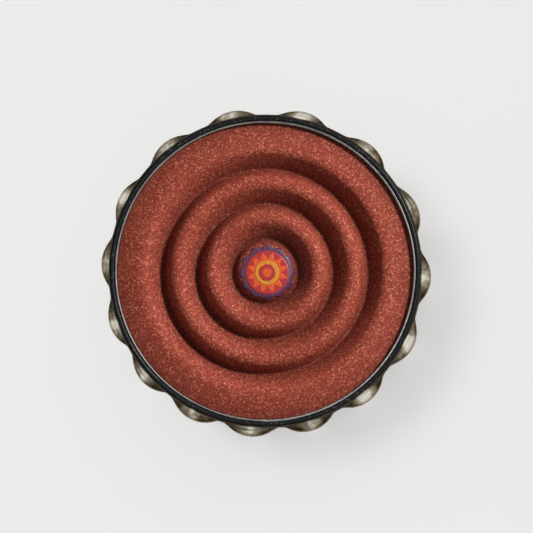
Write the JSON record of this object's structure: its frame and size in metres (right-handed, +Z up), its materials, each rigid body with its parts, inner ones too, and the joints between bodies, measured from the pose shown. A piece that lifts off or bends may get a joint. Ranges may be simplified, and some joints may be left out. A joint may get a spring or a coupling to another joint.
{
  "type": "hand grinder",
  "caption": "Round hand grinder with fluted metal sections that screw together, toothed lid on magnets, and a red wave-shaped disc with a sunburst motif in its top.",
  "frame": {"origin": "on the grinder's axis, at the underside of the base pad that it stands on", "axes": "+Z up along the turning axis, out of the lid; +X towards the lobe at angle 0"},
  "size_m": [0.063, 0.0623, 0.048],
  "materials": {
    "polished_metal": "polished",
    "bright_trim": "polished",
    "black_enamel": "gloss",
    "red_grain": "matte",
    "printed_motif": "gloss",
    "adhesive": "matte",
    "magnet_nickel": "polished",
    "cap_steel": "satin",
    "glide_white": "satin",
    "seal_black": "matte",
    "mesh_steel": "satin",
    "clamp_metal": "satin",
    "spring_steel": "satin",
    "scraper_plastic": "satin",
    "pad_rubber": "matte"
  },
  "bodies": {
    "tray": {"pollen_tray": "polished_metal", "base_pad": "pad_rubber"},
    "scraper": {"scraper": "scraper_plastic"},
    "tray_seal": {"tray_seal_ring": "seal_black"},
    "storage": {"storage_chamber": "polished_metal", "sifting_screen": "mesh_steel", "screen_clamp_ring": "clamp_metal", "screen_snap_ring": "spring_steel"},
    "storage_seal": {"storage_seal_ring": "seal_black"},
    "chamber": {"grinding_chamber": "polished_metal", "chamber_magnet": "magnet_nickel", "chamber_magnet_cap": "cap_steel"},
    "glide": {"glide_ring": "glide_white"},
    "lid": {"lid_shell": "polished_metal", "lid_bezel_ring": "black_enamel", "insert_trim_ring": "bright_trim", "wave_disc": "red_grain", "medallion": "printed_motif", "insert_adhesive_pad": "adhesive", "lid_magnet": "magnet_nickel", "lid_magnet_cap": "cap_steel"}
  },
  "joints": [
    {"name": "scraper_slide", "type": "slide", "parent": "tray", "child": "scraper", "axis": [1, 0, 0], "range_m": [-0.006, 0.006]},
    {"name": "storage_rise", "type": "slide", "parent": "tray", "child": "tray_seal", "axis": [0, 0, 1], "range_m": [0, 0.0041]},
    {"name": "storage_unscrew", "type": "hinge", "parent": "tray_seal", "child": "storage", "pos_m": [0, 0, 0], "axis": [0, 0, 1], "range_deg": [0, 720]},
    {"name": "chamber_rise", "type": "slide", "parent": "storage", "child": "storage_seal", "axis": [0, 0, 1], "range_m": [0, 0.0041]},
    {"name": "chamber_unscrew", "type": "hinge", "parent": "storage_seal", "child": "chamber", "pos_m": [0, 0, 0], "axis": [0, 0, 1], "range_deg": [0, 720]},
    {"name": "lid_lift", "type": "slide", "parent": "chamber", "child": "glide", "axis": [0, 0, 1], "range_m": [0, 0.03]},
    {"name": "lid_spin", "type": "hinge", "parent": "glide", "child": "lid", "pos_m": [0, 0, 0], "axis": [0, 0, 1], "continuous": true}
  ],
  "couplings": [
    {"joint": "storage_rise", "follows": "storage_unscrew", "m_per_rad": 0.00031831},
    {"joint": "chamber_rise", "follows": "chamber_unscrew", "m_per_rad": 0.00031831}
  ]
}
